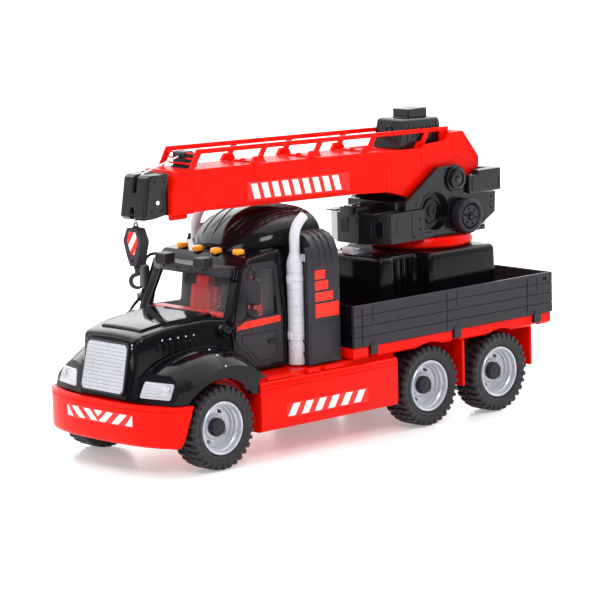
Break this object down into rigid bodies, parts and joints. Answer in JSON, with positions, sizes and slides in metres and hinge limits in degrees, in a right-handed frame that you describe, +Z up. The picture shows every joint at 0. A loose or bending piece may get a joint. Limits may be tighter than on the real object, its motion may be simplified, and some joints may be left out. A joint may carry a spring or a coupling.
{
  "type": "toy crane truck",
  "caption": "Toy lorry with a long hood, a sleeper cab, a drop-side bed on tandem axles and a slewing crane whose boom luffs and telescopes over a hook on a line.",
  "frame": {"origin": "on the floor, under the middle of the truck's box", "axes": "+X towards the grille, +Y to the truck's left, +Z up"},
  "size_m": [0.549, 0.2092, 0.318],
  "materials": {
    "red_plastic": "glossy bright red moulding",
    "black_gloss": "high gloss black moulding",
    "dark_plastic": "satin near-black moulding",
    "tyre": "matte dark tread",
    "silver_plastic": "satin metallic silver moulding",
    "grey_plastic": "light grey moulding",
    "orange_plastic": "orange lamp moulding",
    "clear_plastic": "clear window moulding",
    "string": "thin white cord"
  },
  "bodies": {
    "chassis": {"chassis_frame": "red_plastic", "bumper": "red_plastic", "left_side_skirt": "red_plastic", "right_side_skirt": "red_plastic", "bed_frame": "red_plastic", "bed_front_panel": "dark_plastic", "hood": "black_gloss", "cab_shell": "black_gloss", "cab_glazing": "clear_plastic", "interior": "red_plastic", "steering_wheel": "dark_plastic", "sleeper": "dark_plastic", "roof_fairing": "black_gloss", "sun_visor": "black_gloss", "roof_lights": "orange_plastic", "grille": "silver_plastic", "left_headlight": "silver_plastic", "right_headlight": "silver_plastic", "left_mirror": "dark_plastic", "right_mirror": "dark_plastic", "left_exhaust_stack": "grey_plastic", "right_exhaust_stack": "grey_plastic", "pedestal": "black_gloss", "turntable_ring": "red_plastic"},
    "front_wheels": {"front_axle": "dark_plastic", "front_left_rim": "silver_plastic", "front_left_tyre": "tyre", "front_right_rim": "silver_plastic", "front_right_tyre": "tyre"},
    "mid_wheels": {"mid_axle": "dark_plastic", "mid_left_rim": "silver_plastic", "mid_left_tyre": "tyre", "mid_right_rim": "silver_plastic", "mid_right_tyre": "tyre"},
    "rear_wheels": {"rear_axle": "dark_plastic", "rear_left_rim": "silver_plastic", "rear_left_tyre": "tyre", "rear_right_rim": "silver_plastic", "rear_right_tyre": "tyre"},
    "left_board": {"left_side_board": "dark_plastic"},
    "right_board": {"right_side_board": "dark_plastic"},
    "tail_board": {"tailgate": "dark_plastic"},
    "turret": {"turret_base": "dark_plastic", "left_cheek": "dark_plastic", "right_cheek": "dark_plastic", "counterweight": "dark_plastic"},
    "winch": {"winch_drum": "dark_plastic", "winch_knob": "dark_plastic"},
    "boom": {"outer_boom": "red_plastic", "left_ladder_rail": "red_plastic", "right_ladder_rail": "red_plastic", "boom_cabinet": "dark_plastic", "line_guide": "black_gloss"},
    "inner_boom": {"inner_boom": "red_plastic", "boom_head": "dark_plastic", "boom_line": "string"},
    "plumb_line": {"hoist_line": "string"},
    "block": {"hook_block": "dark_plastic"},
    "swivel": {"hook": "dark_plastic"}
  },
  "joints": [
    {"name": "front_wheels_spin", "type": "hinge", "parent": "chassis", "child": "front_wheels", "pos_m": [0.1995, 0, 0.042], "axis": [0, 1, 0], "continuous": true},
    {"name": "mid_wheels_spin", "type": "hinge", "parent": "chassis", "child": "mid_wheels", "pos_m": [-0.0895, 0, 0.042], "axis": [0, 1, 0], "continuous": true},
    {"name": "rear_wheels_spin", "type": "hinge", "parent": "chassis", "child": "rear_wheels", "pos_m": [-0.1945, 0, 0.042], "axis": [0, 1, 0], "continuous": true},
    {"name": "left_board_drop", "type": "hinge", "parent": "chassis", "child": "left_board", "pos_m": [-0.1265, 0.1031, 0.0956], "axis": [-1, 0, 0], "range_deg": [0, 165]},
    {"name": "right_board_drop", "type": "hinge", "parent": "chassis", "child": "right_board", "pos_m": [-0.1265, -0.1031, 0.0956], "axis": [1, 0, 0], "range_deg": [0, 165]},
    {"name": "tailgate_drop", "type": "hinge", "parent": "chassis", "child": "tail_board", "pos_m": [-0.2742, 0, 0.0956], "axis": [0, -1, 0], "range_deg": [0, 165]},
    {"name": "turret_slew", "type": "hinge", "parent": "chassis", "child": "turret", "pos_m": [-0.1805, 0, 0.1835], "axis": [0, 0, 1], "continuous": true},
    {"name": "winch_turn", "type": "hinge", "parent": "turret", "child": "winch", "pos_m": [-0.2025, 0, 0.203], "axis": [0, 1, 0], "range_deg": [0, 160]},
    {"name": "boom_luff", "type": "hinge", "parent": "turret", "child": "boom", "pos_m": [-0.1925, 0, 0.243], "axis": [0, -1, 0], "range_deg": [0, 50]},
    {"name": "boom_extend", "type": "slide", "parent": "boom", "child": "inner_boom", "axis": [0.9996, 0, 0.027], "range_m": [0, 0.1]},
    {"name": "hook_plumb", "type": "hinge", "parent": "inner_boom", "child": "plumb_line", "pos_m": [0.218, 0, 0.247], "axis": [0, -1, 0], "range_deg": [-50, 0]},
    {"name": "hook_lower", "type": "slide", "parent": "plumb_line", "child": "block", "axis": [0, 0, -1], "range_m": [0, 0.021]},
    {"name": "hook_swivel", "type": "hinge", "parent": "block", "child": "swivel", "pos_m": [0.218, 0, 0.195], "axis": [0, 0, 1], "continuous": true}
  ],
  "couplings": [
    {"joint": "hook_plumb", "follows": "boom_luff", "ratio": -1},
    {"joint": "hook_lower", "follows": "winch_turn", "m_per_rad": 0.0075}
  ]
}
